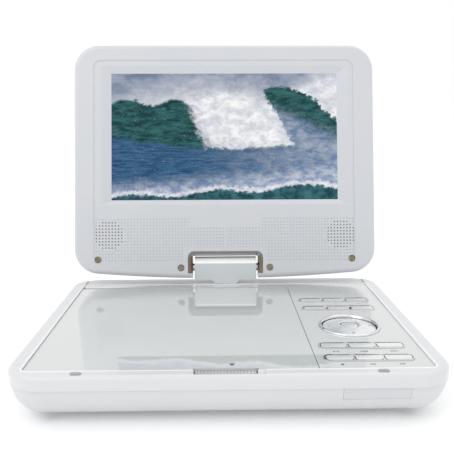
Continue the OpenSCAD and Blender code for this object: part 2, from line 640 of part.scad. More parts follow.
module lcd_cable() color(c_dark) {
  translate([0, ax_y, 8]) cylinder(r = 1.2, h = ax_z - 8);
  translate([0, ax_y, ax_z]) sphere(1.2);
  translate([-32, ax_y, ax_z]) rotate([0, 90, 0]) cylinder(r = 1.2, h = 32);
}

// ---------- lid ----------
// local frame: origin on the tilt axis, +Y up the lid, +Z out of the screen side
module lid_place() translate([0, ax_y, ax_z]) rotate([90 - lean, 0, 0]) children();
// the lower edge is a shallow arc; the planes that part it from the corners pass through both centres
cx = lid_w / 2 - lid_r;
yt = lid_h - lid_r;
yb = lid_r + bow_s;
bow_d = (cx * cx / bow_s - bow_s) / 2;
bow_r = bow_d + yb;
px = 1.03 * cx;
py = yb - 0.03 * bow_d;
// profile carried round the lid: x of the profile runs outwards from the corner centres
module lid_sweep(z0, z1) translate([0, -lid_lo, 0]) {
  translate([-cx, yb, z0]) cube([2 * cx, yt - yb, z1 - z0]);
  translate([-cx, yt, 0]) rotate([90, 0, 90]) linear_extrude(2 * cx) children();
  for (s = [0, 1]) mirror([s, 0, 0]) {
    translate([cx, yt, 0]) rotate([90, 0, 0]) linear_extrude(yt - yb) children();
    translate([cx, yt, 0]) rotate_extrude(angle = 90) children();
    intersection() {
      translate([cx, yb, 0]) rotate_extrude() children();
      translate([0, 0, z0 - 1]) linear_extrude(z1 - z0 + 2)
        polygon([[cx, yb], [px, py], [cx + 60, py], [cx + 60, yb]]);
    }
  }
  intersection() {
    translate([0, bow_r, 0]) rotate_extrude($fn = 360) {
      translate([0, z0]) square([bow_r - lid_r + 1, z1 - z0]);
      translate([bow_r - lid_r, 0]) children();
    }
    translate([0, 0, z0 - 1]) linear_extrude(z1 - z0 + 2)
      polygon([[cx, yb], [px, py], [-px, py], [-cx, yb]]);
  }
}
module front_solid(inset, z0, z1, q) {
  lid_sweep(z0, z1) prof_top(lid_r - inset, z0, z1, q);
}
module back_solid(inset, z0, z1, q) {
  lid_sweep(z0, z1) prof_low(lid_r - inset, z0, z1, q);
}
notch_x = 25;
notch_y = 10.9;
liner_t = 3.2;
ledge_y = -3.9;
win_y = 45.2;
spk_x = 77.2;
spk_y = 21.7;
lid_screw_pts = [[-84.5, 5.5], [84.5, 5.5], [-29.5, -0.1], [29.5, -0.1]];
module notch_cut(c, z0, z1) {
  translate([0, 0, z0]) linear_extrude(z1 - z0) {
    translate([-notch_x - c, ledge_y]) square([2 * notch_x + 2 * c, notch_y - ledge_y - 4 + c]);
    translate([-notch_x + liner_t, -20]) square([2 * (notch_x - liner_t), 24]);
    translate([0, notch_y - 4 + c]) {
      translate([-notch_x - c + 4, -4]) square([2 * (notch_x + c - 4), 8]);
      for (s = [-1, 1]) translate([s * (notch_x + c - 4), 0]) circle(4);
    }
  }
}
module axle_cut() translate([-32, 0, 0]) rotate([0, 90, 0]) cylinder(r = 2.9, h = 64);
module lid_bezel() color(c_shell) lid_place() difference() {
  union() {
    difference() {
      front_solid(0, split_t, half_t, 3);
      front_solid(2, split_t - 1, half_t - 2, 1.2);
    }
    // frame behind the picture window and posts
    intersection() {
      front_solid(1, split_t, half_t - 1, 2);
      union() {
        box(-86, 86, win_y - 4.5, win_y + screen_h + 8, 6, half_t - 1);
        box(-notch_x - 2, notch_x + 2, -20, notch_y + 2, split_t, half_t - 1);
        for (p = lid_screw_pts) translate([p[0], p[1], abs(p[0]) < 50 ? 4.8 : split_t])
          cylinder(r = 3.4, h = abs(p[0]) < 50 ? 2.2 : 5);
        for (s = [-1, 1]) translate([s * spk_x, spk_y, 4]) cylinder(r = 13.4, h = 3);
      }
    }
  }
  // shallow inner panel
  translate([-0.4, (3.9 + 139.2) / 2, half_t - 0.35]) linear_extrude(2) rr(174, 135.3, 5);
  // bevel round the window
  hull() {
    translate([0.2, (41.4 + 136.2) / 2, half_t]) cube([167.2, 94.8, 0.02], center = true);
    translate([0, win_y + screen_h / 2, 6]) cube([screen_w, screen_h, 0.02], center = true);
  }
  translate([0, win_y + screen_h / 2, 6]) cube([screen_w, screen_h, 8], center = true);
  notch_cut(0, -10, 10);
  axle_cut();
  // speaker grilles
  for (s = [-1, 1]) for (i = [-5:5], j = [-5:5]) if (i * i + j * j < 24)
    translate([s * spk_x + i * 2.1, spk_y + j * 2.1, 6]) cube([0.95, 0.95, 8], center = true);
  for (s = [-1, 1]) translate([s * spk_x, spk_y, split_t - 1]) cylinder(r = 11.6, h = 6);
  for (p = lid_screw_pts) {
    translate([p[0], p[1], half_t - 2]) cylinder(r = 2.3, h = 3);
    translate([p[0], p[1], -1]) cylinder(r = 1.1, h = 12);
  }
}
module lid_back_cover() color(c_shell) lid_place() difference() {
  union() {
    difference() {
      back_solid(0, -half_t, split_t - 0.02, 5);
      back_solid(2, -half_t + 2, split_t + 1, 3);
    }
    intersection() {
      back_solid(1, -half_t, split_t - 0.02, 4);
      union() {
        box(-notch_x - 2, notch_x + 2, -20, notch_y + 2, -half_t + 1, split_t - 0.02);
        for (p = lid_screw_pts) if (abs(p[0]) > 50)
          translate([p[0], p[1], -half_t + 1]) cylinder(r = 3, h = half_t);
        for (s = [-1, 1]) translate([s * 30.3, 11.6, -half_t + 1]) cylinder(r = 2.6, h = half_t - 5.62);
        // posts of the driver board and of the picture panel
        for (x = [-56, 56], y = [54, 96]) translate([x, y, -half_t + 1]) cylinder(r = 2.2, h = half_t - 4.4);
        for (x = [-77, 77], y = [44, 132]) translate([x, y, -half_t + 1]) cylinder(r = 3, h = half_t - 0.02);
      }
    }
  }
  notch_cut(0, -10, 10);
  for (p = lid_screw_pts) translate([p[0], p[1], -5.5]) cylinder(r = 0.95, h = 12);
  axle_cut();
}
module lcd_panel() lid_place() {
  color(c_metal) difference() {
    box(-82.5, 82.5, win_y - 6.5, win_y + screen_h + 6.5, 1, 5.95);
    box(-78, 78, win_y - 1.4, win_y + screen_h + 1.4, 4.4, 7);
  }
  color([0.1, 0.2, 0.35]) box(-78.1, 78.1, win_y - 1.5, win_y + screen_h + 1.5, 4.3, 5.5);
}
module lcd_driver_board() color(c_pcb) lid_place() {
  box(-60, 60, 50, 100, -3.4, -2.2);
  color(c_dark) box(-20, -4, 66, 82, -2.3, -1);
  color(c_dark) box(14, 26, 62, 70, -2.3, -1.2);
  color(c_metal) box(-50, -40, 84, 92, -2.3, -0.6);
}
module speakers() lid_place() for (s = [-1, 1]) translate([s * spk_x, spk_y, 0]) {
  color(c_metal) translate([0, 0, -3.6]) cylinder(r = 7, h = 3);
  color(c_metal) translate([0, 0, -0.7]) cylinder(r1 = 7.2, r2 = 11.2, h = 2.4);
  color(c_dark) translate([0, 0, 1.6]) tube(11.2, 9.4, 3.6);
  color(c_dark) translate([0, 0, 1.6]) cylinder(r1 = 9.6, r2 = 3, h = 2);
}
module lid_screws() color([0.8, 0.68, 0.4]) lid_place() for (p = lid_screw_pts)
  translate([p[0], p[1], half_t - 2]) screw(2, 0.9, abs(p[0]) < 50 ? 2.6 : 9);
// bright U-shaped liner of the notch, with a bevelled face
module liner_prof() {
  polygon([[0, half_t - 0.2], [0.4, half_t - 0.2], [liner_t, 5.4],
    [liner_t, -half_t + 0.6], [0, -half_t + 0.6]]);
}
module notch_trim() color(c_chrome) lid_place() difference() {
  liner();
  axle_cut();
}
module liner() {
  for (s = [0, 1]) mirror([s, 0, 0]) {
    translate([notch_x - 0.02, notch_y - 4, 0]) rotate([90, 0, 0])
      linear_extrude(notch_y - 4 - ledge_y - 0.02) mirror([1, 0]) liner_prof();
    translate([notch_x - 4, notch_y - 4, 0]) rotate_extrude(angle = 90)
      translate([4 - 0.02, 0]) mirror([1, 0]) liner_prof();
  }
  translate([-notch_x + 4, notch_y - 4, 0]) rotate([90, 0, 90]) linear_extrude(2 * notch_x - 8)
    translate([4 - 0.02, 0]) mirror([1, 0]) liner_prof();
}
module lid_hinge_plates() color(c_metal) lid_place() for (s = [0, 1]) mirror([s, 0, 0]) difference() {
  union() {
    box(27.3, 33.4, -4, 5, -4.6, 4.6);
    box(27.3, 36.4, 4.9, 15.8, -4.6, -2.8);
  }
  translate([20, 0, 0]) rotate([0, 90, 0]) cylinder(r = 2.56, h = 20);
  translate([29.5, -0.1, 3.4]) cylinder(r = 0.95, h = 3);
}

base_lower_shell();
base_upper_shell();
control_panel();
row_frames();
nav_ring();
key_board();
rim_bumpers();
feet();
base_screws();
drive_chassis();
drive_dampers();
spindle_motor();
guide_rods();
feed_motor();
main_board();
battery_pack();
dc_jack();
av_jack();
headphone_jack();
usb_port();
power_slider();
ir_window();
swivel_bush();
door_pins();
disc_door();
open_button();
btn_top_1();
btn_top_2();
btn_top_3();
btn_menu_1();
btn_menu_2();
btn_menu_3();
btn_play_1();
btn_play_2();
btn_play_3();
btn_skip_1();
btn_skip_2();
btn_skip_3();
nav_carrier();
nav_pad();
ok_button();
spindle_hub();
pickup_sled();
pickup_lens();
feed_gear();
feed_pinion();
hinge_cover_front();
hinge_cover_rear();
swivel_shaft();
tilt_axle();
lcd_cable();
lid_bezel();
lid_back_cover();
lcd_panel();
lcd_driver_board();
speakers();
lid_screws();
notch_trim();
lid_hinge_plates();
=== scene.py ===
# %% [markdown]
# # A portable disc player with a swivelling screen
# The solid parts come from the CAD model and stay where they are. This lesson gives each of them a
# finish, adds the thin pieces that CAD leaves out (the lit picture, the speaker cloth, the printed
# arrows and a bead round the deck, coloured light as a painted highlight) and lights the player
# softly and evenly. Lengths are metres; MM turns millimetres into them.

# %% Load the solid parts
from math import radians

import bmesh
import bpy
from mathutils import Euler, Matrix, Vector


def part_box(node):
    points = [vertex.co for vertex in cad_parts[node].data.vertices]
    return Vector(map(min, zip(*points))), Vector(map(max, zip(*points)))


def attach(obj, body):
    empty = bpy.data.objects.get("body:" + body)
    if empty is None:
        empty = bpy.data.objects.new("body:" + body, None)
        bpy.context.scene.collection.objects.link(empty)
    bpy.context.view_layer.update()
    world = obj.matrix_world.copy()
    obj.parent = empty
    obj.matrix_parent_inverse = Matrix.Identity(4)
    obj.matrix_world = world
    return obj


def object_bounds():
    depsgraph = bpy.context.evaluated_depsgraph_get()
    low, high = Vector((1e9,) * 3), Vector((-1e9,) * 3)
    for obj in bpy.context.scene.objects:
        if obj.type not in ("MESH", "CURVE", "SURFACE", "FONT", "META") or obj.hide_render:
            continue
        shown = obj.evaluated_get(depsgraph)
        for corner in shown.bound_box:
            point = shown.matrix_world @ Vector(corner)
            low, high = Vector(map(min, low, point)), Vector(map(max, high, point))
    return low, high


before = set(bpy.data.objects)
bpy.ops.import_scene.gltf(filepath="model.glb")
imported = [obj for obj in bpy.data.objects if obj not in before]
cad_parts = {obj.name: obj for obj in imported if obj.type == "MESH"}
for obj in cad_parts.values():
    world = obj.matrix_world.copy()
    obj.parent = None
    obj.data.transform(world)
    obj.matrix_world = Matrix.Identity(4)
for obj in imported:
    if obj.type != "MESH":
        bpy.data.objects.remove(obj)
cad_box = [list(corner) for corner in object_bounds()]
MM = 0.001

# %% [markdown]
# ## Where things are
# The places of the deck, the shell and the tilt axle are read from the solid parts; the lid's
# resting angle is given. The lid turns on a level axle behind the deck, so its own frame is put
# there: X to the right, Y up the lid, Z out of the screen. A matrix takes a point of that frame to
# its place at rest, and later also turns patterns so that they lie straight on the lid.

# %% Measure the parts
deck_low, deck_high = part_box("control_panel")
shell_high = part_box("base_upper_shell")[1]
axle_low, axle_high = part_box("tilt_axle")
LID_TURN = radians(77.3)
axle = (axle_low + axle_high) / 2
lid_place = Matrix.Translation((0, axle.y, axle.z)) @ Matrix.Rotation(LID_TURN, 4, "X")
deck_top = deck_high.z
print("deck top", round(deck_top / MM, 2), "mm; tilt axle at", [round(v / MM, 2) for v in axle])

# %% [markdown]
# ## Short spellings for nodes
# A material is a chain of nodes. Writing each one out takes five lines, so `add` makes a node, sets
# its values and links what is already a socket. The others are the nodes used most: one step of
# arithmetic, a mix of two colours, a soft step, a noise and a plain colour.

# %% Node helpers
def add(tree, kind, inputs=None, **settings):
    node = tree.nodes.new(kind)
    for name, value in settings.items():
        setattr(node, name, value)
    for name, value in (inputs or {}).items():
        if isinstance(value, bpy.types.NodeSocket):
            tree.links.new(value, node.inputs[name])
        else:
            node.inputs[name].default_value = value
    return node


def calc(tree, operation, a, b=0.0, c=0.0):
    return add(tree, "ShaderNodeMath", {0: a, 1: b, 2: c}, operation=operation).outputs[0]


def blend_colour(tree, amount, a, b):
    inputs = {"Factor": amount, 6: a, 7: b}
    return add(tree, "ShaderNodeMix", inputs, data_type="RGBA").outputs[2]


def step(tree, value, low, high):
    inputs = {"Value": value, "From Min": low, "From Max": high}
    return add(tree, "ShaderNodeMapRange", inputs, interpolation_type="SMOOTHSTEP").outputs[0]


def noise(tree, vector, scale, detail=4.0, rough=0.5, distortion=0.0):
    inputs = {"Vector": vector, "Scale": scale, "Detail": detail, "Roughness": rough,
              "Distortion": distortion}
    return add(tree, "ShaderNodeTexNoise", inputs).outputs["Fac"]


def paint(r, g, b):
    return (r, g, b, 1.0)


print("node helpers are ready")

# %% [markdown]
# ## Effects that every finish shares
# Injection-moulded plastic has a faint grain from the tool and is never quite even in tone. Things
# that are handled also pick up smudges that change the gloss more than the colour. Both are built
# once as node groups that read millimetres, so each finish only chooses how much of them it wants.

# %% Shared node groups
def new_group(name, inputs, outputs):
    group = bpy.data.node_groups.new(name, "ShaderNodeTree")
    for title, kind, value in inputs:
        socket = group.interface.new_socket(title, in_out="INPUT", socket_type=kind)
        if value is not None:
            socket.default_value = value
    for title, kind in outputs:
        group.interface.new_socket(title, in_out="OUTPUT", socket_type=kind)
    return group, add(group, "NodeGroupInput"), add(group, "NodeGroupOutput")


FLOAT, VECTOR, COLOUR = "NodeSocketFloat", "NodeSocketVector", "NodeSocketColor"

tool_grain, g_in, g_out = new_group(
    "tool grain",
    [("Place", VECTOR, None), ("Grain", FLOAT, 6.0), ("Mottle", FLOAT, 0.05),
     ("Dark", COLOUR, paint(0.7, 0.7, 0.7)), ("Light", COLOUR, paint(0.8, 0.8, 0.8))],
    [("Color", COLOUR), ("Height", FLOAT)])
fine = noise(tool_grain, g_in.outputs["Place"], g_in.outputs["Grain"], 3.0, 0.6)
cloudy = noise(tool_grain, g_in.outputs["Place"], g_in.outputs["Mottle"], 3.0, 0.5)
tone = calc(tool_grain, "ADD", calc(tool_grain, "MULTIPLY", fine, 0.3),
            calc(tool_grain, "MULTIPLY", step(tool_grain, cloudy, 0.3, 0.7), 0.7))
tones = blend_colour(tool_grain, tone, g_in.outputs["Dark"], g_in.outputs["Light"])
tool_grain.links.new(tones, g_out.inputs["Color"])
tool_grain.links.new(fine, g_out.inputs["Height"])

handling, h_in, h_out = new_group(
    "handling marks",
    [("Place", VECTOR, None), ("Smudges", FLOAT, 0.08), ("Low", FLOAT, 0.2), ("High", FLOAT, 0.3)],
    [("Roughness", FLOAT), ("Smudge", FLOAT)])
broad = noise(handling, h_in.outputs["Place"], h_in.outputs["Smudges"], 5.0, 0.65, 0.4)
specks = noise(handling, h_in.outputs["Place"], 1.9, 2.0, 0.5)
smudge = calc(handling, "MAXIMUM", step(handling, broad, 0.48, 0.68),
              step(handling, specks, 0.7, 0.78))
span = calc(handling, "SUBTRACT", h_in.outputs["High"], h_in.outputs["Low"])
handling.links.new(
    calc(handling, "MULTIPLY_ADD", smudge, span, h_in.outputs["Low"]), h_out.inputs["Roughness"])
handling.links.new(smudge, h_out.inputs["Smudge"])
print("node groups:", [g.name for g in bpy.data.node_groups])

# %% [markdown]
# ## One recipe for an even finish
# `finish` makes a material from two tones, two roughness values, a grain and a bump depth. Values
# that are the same all over, such as the coat and the specular level, are typed into the shader's
# own sockets. Patterns read object coordinates in millimetres; on the lid they are turned with it.

# %% Finish recipe
def millimetres(tree, on_lid=False):
    place = add(tree, "ShaderNodeTexCoord").outputs["Object"]
    inputs = {"Vector": place, "Scale": (1000, 1000, 1000)}
    if on_lid:
        back = Matrix.Rotation(-LID_TURN, 3, "X")
        inputs["Rotation"] = Euler((-LID_TURN, 0, 0))
        inputs["Location"] = -(back @ Vector((0, axle.y, axle.z))) * 1000
    return add(tree, "ShaderNodeMapping", inputs).outputs[0]


def start_material(name):
    material = bpy.data.materials.new(name)
    material.use_nodes = True
    tree = material.node_tree
    return material, tree, tree.nodes["Principled BSDF"]


def settle(shader, values):
    for name, value in values.items():
        shader.inputs[name].default_value = value


def finish(name, dark, light, low, high, grain=6.0, mottle=0.05, smudges=0.08, depth=0.02,
           metal=0.0, on_lid=False, **values):
    material, tree, shader = start_material(name)
    place = millimetres(tree, on_lid)
    skin = add(tree, "ShaderNodeGroup", node_tree=tool_grain)
    marks = add(tree, "ShaderNodeGroup", node_tree=handling)
    for node, inputs in ((skin, {"Place": place, "Grain": grain, "Mottle": mottle,
                                 "Dark": paint(*dark), "Light": paint(*light)}),
                         (marks, {"Place": place, "Smudges": smudges, "Low": low, "High": high})):
        for title, value in inputs.items():
            if isinstance(value, bpy.types.NodeSocket):
                tree.links.new(value, node.inputs[title])
            else:
                node.inputs[title].default_value = value
    tree.links.new(skin.outputs["Color"], shader.inputs["Base Color"])
    tree.links.new(marks.outputs["Roughness"], shader.inputs["Roughness"])
    bump = add(tree, "ShaderNodeBump", {"Height": skin.outputs["Height"], "Distance": depth * MM})
    tree.links.new(bump.outputs[0], shader.inputs["Normal"])
    settle(shader, {"Metallic": metal})
    settle(shader, {title.replace("_", " "): value for title, value in values.items()})
    return material


print("finish recipe is ready")

# %% [markdown]
# ## Outer finishes
# The housing is pale, slightly blue plastic with a soft gloss. The deck and the disc door are the
# same colour under a hard clear coat, so they mirror the lid. Keys and navigation pad are silver
# lacquer, their frames and the ring are chrome. Rubber is darker and rough. The hinge covers get
# one more step: a painted highlight turns their rounded top edge almost white.

# %% Outer finishes
shell_plastic = finish("shell plastic", (0.655, 0.66, 0.672), (0.663, 0.668, 0.68), 0.28, 0.3,
                       grain=5.0, depth=0.003, Coat_Weight=0.25, Coat_Roughness=0.12)
lower_plastic = finish("lower shell plastic", (0.635, 0.65, 0.665), (0.645, 0.66, 0.673),
                       0.34, 0.37, grain=4.0, depth=0.004)
lid_back_plastic = finish("lid back lacquer", (0.60, 0.615, 0.635), (0.62, 0.632, 0.65), 0.16, 0.2,
                          grain=5.0, depth=0.008, on_lid=True, Coat_Weight=0.6, Coat_Roughness=0.06)
deck_gloss = finish("glossy deck", (0.585, 0.605, 0.60), (0.597, 0.617, 0.612), 0.025, 0.045,
                    grain=0.6, mottle=0.03, smudges=0.05, depth=0.001, Coat_Weight=1.0,
                    Coat_Roughness=0.02, Coat_IOR=1.55, IOR=1.45)
bright_chrome = finish("bright chrome", (0.72, 0.73, 0.74), (0.82, 0.82, 0.83), 0.05, 0.13,
                       grain=9.0, depth=0.002, metal=1.0)
silver_lacquer = finish("silver lacquer", (0.74, 0.75, 0.76), (0.80, 0.81, 0.81), 0.2, 0.3,
                        grain=14.0, depth=0.006, metal=0.55, Coat_Weight=0.5, Coat_Roughness=0.08)
hinge_lacquer = finish("hinge lacquer", (0.60, 0.645, 0.665), (0.64, 0.68, 0.70), 0.18, 0.26,
                       grain=6.0, depth=0.008, Coat_Weight=0.5, Coat_Roughness=0.08)
grey_rubber = finish("grey rubber", (0.36, 0.37, 0.38), (0.44, 0.45, 0.46), 0.55, 0.7,
                     grain=8.0, depth=0.05, Specular_IOR_Level=0.3)
black_rubber = finish("black rubber", (0.015, 0.015, 0.017), (0.04, 0.04, 0.043), 0.6, 0.8,
                      grain=7.0, depth=0.06, Specular_IOR_Level=0.3)
brass_plate = finish("brass screw plating", (0.16, 0.145, 0.09), (0.34, 0.31, 0.22), 0.2, 0.4,
                     grain=12.0, mottle=0.6, depth=0.01, metal=1.0)
receiver_window = finish("receiver window", (0.585, 0.60, 0.62), (0.60, 0.615, 0.635), 0.06, 0.1,
                         grain=3.0, depth=0.003, Coat_Weight=0.6, Coat_Roughness=0.04)

# Heights in millimetres between which a painted highlight turns the hinge covers from lacquer to
# white.
COVER_EDGE, COVER_TOP = 36.0, 36.9
tree = hinge_lacquer.node_tree
shader = tree.nodes["Principled BSDF"]
height = add(tree, "ShaderNodeSeparateXYZ", {0: millimetres(tree)}).outputs["Z"]
plain = shader.inputs["Base Color"].links[0].from_socket
# painted highlight: the rounded top of the covers is coloured almost white
painted_top_highlight = step(tree, height, COVER_EDGE, COVER_TOP)
tree.links.new(blend_colour(tree, painted_top_highlight, plain, paint(0.97, 0.97, 0.97)),
               shader.inputs["Base Color"])
print("outer finishes:", len(bpy.data.materials))

# %% [markdown]
# ## Inner finishes
# They show when the disc door is lifted or through openings: nylon gears, a plated chassis, steel
# rods, black port blocks, a blue battery sleeve and green circuit boards.

# %% Inner finishes
pale_nylon = finish("pale nylon", (0.72, 0.70, 0.62), (0.80, 0.78, 0.70), 0.35, 0.5, grain=4.0,
                    Subsurface_Weight=0.05, Subsurface_Scale=0.002)
dark_plastic = finish("dark plastic", (0.012, 0.012, 0.014), (0.03, 0.03, 0.032), 0.3, 0.45,
                      grain=6.0)
port_plastic = finish("port plastic", (0.02, 0.02, 0.022), (0.05, 0.05, 0.052), 0.35, 0.5,
                      grain=9.0)
turned_steel = finish("turned steel", (0.42, 0.42, 0.43), (0.56, 0.56, 0.57), 0.16, 0.32,
                      grain=16.0, depth=0.004, metal=1.0)
plated_sheet = finish("plated sheet", (0.48, 0.48, 0.47), (0.60, 0.60, 0.58), 0.25, 0.42, grain=2.5,
                      mottle=0.3, depth=0.01, metal=1.0)
spindle_plastic = finish("spindle plastic", (0.03, 0.03, 0.033), (0.06, 0.06, 0.062), 0.25, 0.4,
                         grain=8.0)
cable_jacket = finish("cable jacket", (0.02, 0.02, 0.02), (0.05, 0.05, 0.052), 0.4, 0.55, grain=3.0,
                      depth=0.08)
battery_sleeve = finish("battery sleeve", (0.02, 0.07, 0.22), (0.04, 0.11, 0.30), 0.18, 0.32,
                        grain=0.8, mottle=0.1, depth=0.06, Coat_Weight=0.4)
lens_glass = finish("lens glass", (0.10, 0.13, 0.22), (0.16, 0.20, 0.34), 0.02, 0.06, grain=8.0,
                    depth=0.001, Coat_Weight=1.0)
print("inner finishes:", len(bpy.data.materials))

# %% [markdown]
# ## Circuit board
# A green solder mask lies over copper tracks, which show as slightly lighter, raised lines, and
# over it stand tinned pads. Two brick patterns at right angles make tracks that never repeat
# exactly, and a cell pattern makes the pads.

# %% Circuit board finish
def board_finish(name, on_lid):
    material, tree, shader = start_material(name)
    place = millimetres(tree, on_lid)
    bricks = {"Vector": place, "Scale": 0.35, "Mortar Size": 0.05, "Mortar Smooth": 0.2,
              "Color1": paint(0.0, 0.0, 0.0), "Color2": paint(0.25, 0.25, 0.25),
              "Mortar": paint(1.0, 1.0, 1.0), "Brick Width": 0.9, "Row Height": 0.22}
    tracks = add(tree, "ShaderNodeTexBrick", bricks, offset_frequency=3).outputs["Fac"]
    cells = add(tree, "ShaderNodeTexVoronoi", {"Vector": place, "Scale": 0.45}).outputs["Distance"]
    pads = calc(tree, "SUBTRACT", 1.0, step(tree, cells, 0.16, 0.2))
    mask = blend_colour(tree, tracks, paint(0.006, 0.07, 0.035), paint(0.02, 0.15, 0.07))
    tinned = blend_colour(tree, pads, mask, paint(0.62, 0.62, 0.6))
    tree.links.new(tinned, shader.inputs["Base Color"])
    tree.links.new(pads, shader.inputs["Metallic"])
    tree.links.new(step(tree, noise(tree, place, 0.5), -0.6, 1.8), shader.inputs["Roughness"])
    relief = calc(tree, "ADD", calc(tree, "MULTIPLY", tracks, 0.4), pads)
    bump = add(tree, "ShaderNodeBump", {"Height": relief, "Distance": 0.06 * MM})
    tree.links.new(bump.outputs[0], shader.inputs["Normal"])
    settle(shader, {"Coat Weight": 0.3})
    return material


main_board_finish = board_finish("green board", False)
lid_board_finish = board_finish("green lid board", True)
print("board finishes made")

# %% [markdown]
# ## Lid front
# Between the picture and the hinge the lid front carries a field of tiny square dimples in line
# with the speaker holes. They are far too shallow for geometry, so the pattern is arithmetic on
# the lid's own millimetres: two square waves multiplied, kept inside the field and away from the
# real speaker holes. They darken the colour a little as painted shade in the dimples, and sink the
# surface through a bump.

# %% Lid front finish
PITCH, SPEAKER_X, SPEAKER_Y, SPEAKER_R = 2.1, 77.2, 21.7, 10.6
FIELD_X, FIELD_LOW, FIELD_HIGH = 86.0, 4.2, 32.6
HINGE_X, HINGE_TOP, BLANK_X, BLANK_LOW = 28.0, 13.6, 24.5, 27.0
FRONT_Z = 7.5

lid_front, tree, shader = start_material("lid front plastic")
place = millimetres(tree, True)
axes = add(tree, "ShaderNodeSeparateXYZ", {0: place})
across = calc(tree, "ABSOLUTE", axes.outputs["X"])
up = axes.outputs["Y"]


def square_wave(value, phase):
    turn = calc(tree, "MULTIPLY_ADD", value, 1 / PITCH, 0.5 - phase / PITCH + 100)
    off = calc(tree, "ABSOLUTE", calc(tree, "SUBTRACT", calc(tree, "FRACT", turn), 0.5))
    return calc(tree, "SUBTRACT", 1.0, step(tree, off, 0.17, 0.27))


def inside(value, low, high):
    return calc(tree, "MULTIPLY", calc(tree, "GREATER_THAN", value, low),
                calc(tree, "LESS_THAN", value, high))


def without(mask, hole):
    return calc(tree, "MULTIPLY", mask, calc(tree, "SUBTRACT", 1.0, hole))


dimples = calc(tree, "MULTIPLY", square_wave(across, SPEAKER_X), square_wave(up, SPEAKER_Y))
field = calc(tree, "MULTIPLY", inside(across, -1, FIELD_X), inside(up, FIELD_LOW, FIELD_HIGH))
round_hinge = calc(tree, "MULTIPLY", inside(across, -1, HINGE_X), inside(up, -20, HINGE_TOP))
field = without(field, round_hinge)
blank_middle = calc(tree, "MULTIPLY", inside(across, -1, BLANK_X), inside(up, BLANK_LOW, 60))
field = without(field, blank_middle)
dx = calc(tree, "SUBTRACT", across, SPEAKER_X)
dy = calc(tree, "SUBTRACT", up, SPEAKER_Y)
squares = calc(tree, "ADD", calc(tree, "MULTIPLY", dx, dx), calc(tree, "MULTIPLY", dy, dy))
far = calc(tree, "SQRT", squares)
field = calc(tree, "MULTIPLY", field, calc(tree, "GREATER_THAN", far, SPEAKER_R))
field = calc(tree, "MULTIPLY", field, calc(tree, "GREATER_THAN", axes.outputs["Z"], FRONT_Z))
dimples = calc(tree, "MULTIPLY", dimples, field)
skin = add(tree, "ShaderNodeGroup", node_tree=tool_grain)
tree.links.new(place, skin.inputs["Place"])
settle(skin, {"Grain": 5.0, "Mottle": 0.03, "Dark": paint(0.572, 0.588, 0.618),
              "Light": paint(0.588, 0.602, 0.628)})
marks = add(tree, "ShaderNodeGroup", node_tree=handling)
tree.links.new(place, marks.inputs["Place"])
settle(marks, {"Smudges": 0.07, "Low": 0.28, "High": 0.32})
# painted shade: the colour is darkened inside each dimple
dimple_painted_shade = blend_colour(tree, calc(tree, "MULTIPLY", dimples, 0.5), skin.outputs["Color"],
                       paint(0.42, 0.45, 0.48))
tree.links.new(dimple_painted_shade, shader.inputs["Base Color"])
tree.links.new(marks.outputs["Roughness"], shader.inputs["Roughness"])
relief = calc(tree, "SUBTRACT", calc(tree, "MULTIPLY", skin.outputs["Height"], 0.05), dimples)
bump = add(tree, "ShaderNodeBump", {"Height": relief, "Distance": 0.15 * MM})
tree.links.new(bump.outputs[0], shader.inputs["Normal"])
settle(shader, {"Coat Weight": 0.2, "Coat Roughness": 0.15})
print("lid front finish made")

# %% [markdown]
# ## Hinge liner
# The U-shaped liner of the hinge notch is chrome with painted reflections: a coppery painted
# reflection on its left leg, an olive one on its right leg, and painted shade that darkens its top.
# The painted colour turns across the lid's own X, over a brushed grain that runs through the lid.

# %% Hinge liner finish
liner_chrome_painted_reflections, tree, shader = start_material("chrome with painted reflections")
place = millimetres(tree, True)
axes = add(tree, "ShaderNodeSeparateXYZ", {0: place})
# painted reflection on the legs and painted shade on the top, mixed into the chrome's colour
leg_painted_reflections = blend_colour(tree, step(tree, axes.outputs["X"], -20, 20), paint(0.15, 0.085, 0.06),
                    paint(0.12, 0.10, 0.06))
painted_reflection_and_shade = blend_colour(tree, step(tree, axes.outputs["Y"], 6.5, 8.5), leg_painted_reflections, paint(0.30, 0.30, 0.31))
drawn_out = add(tree, "ShaderNodeMapping", {"Vector": place, "Scale": (6, 6, 0.4)}).outputs[0]
brushed = noise(tree, drawn_out, 1.0)
streaked = blend_colour(tree, calc(tree, "MULTIPLY", brushed, 0.35), painted_reflection_and_shade, paint(0.50, 0.48, 0.45))
tree.links.new(streaked, shader.inputs["Base Color"])
tree.links.new(calc(tree, "MULTIPLY_ADD", brushed, 0.12, 0.06), shader.inputs["Roughness"])
bump = add(tree, "ShaderNodeBump", {"Height": brushed, "Distance": 0.004 * MM})
tree.links.new(bump.outputs[0], shader.inputs["Normal"])
settle(shader, {"Metallic": 1.0})
print("hinge liner finish made")
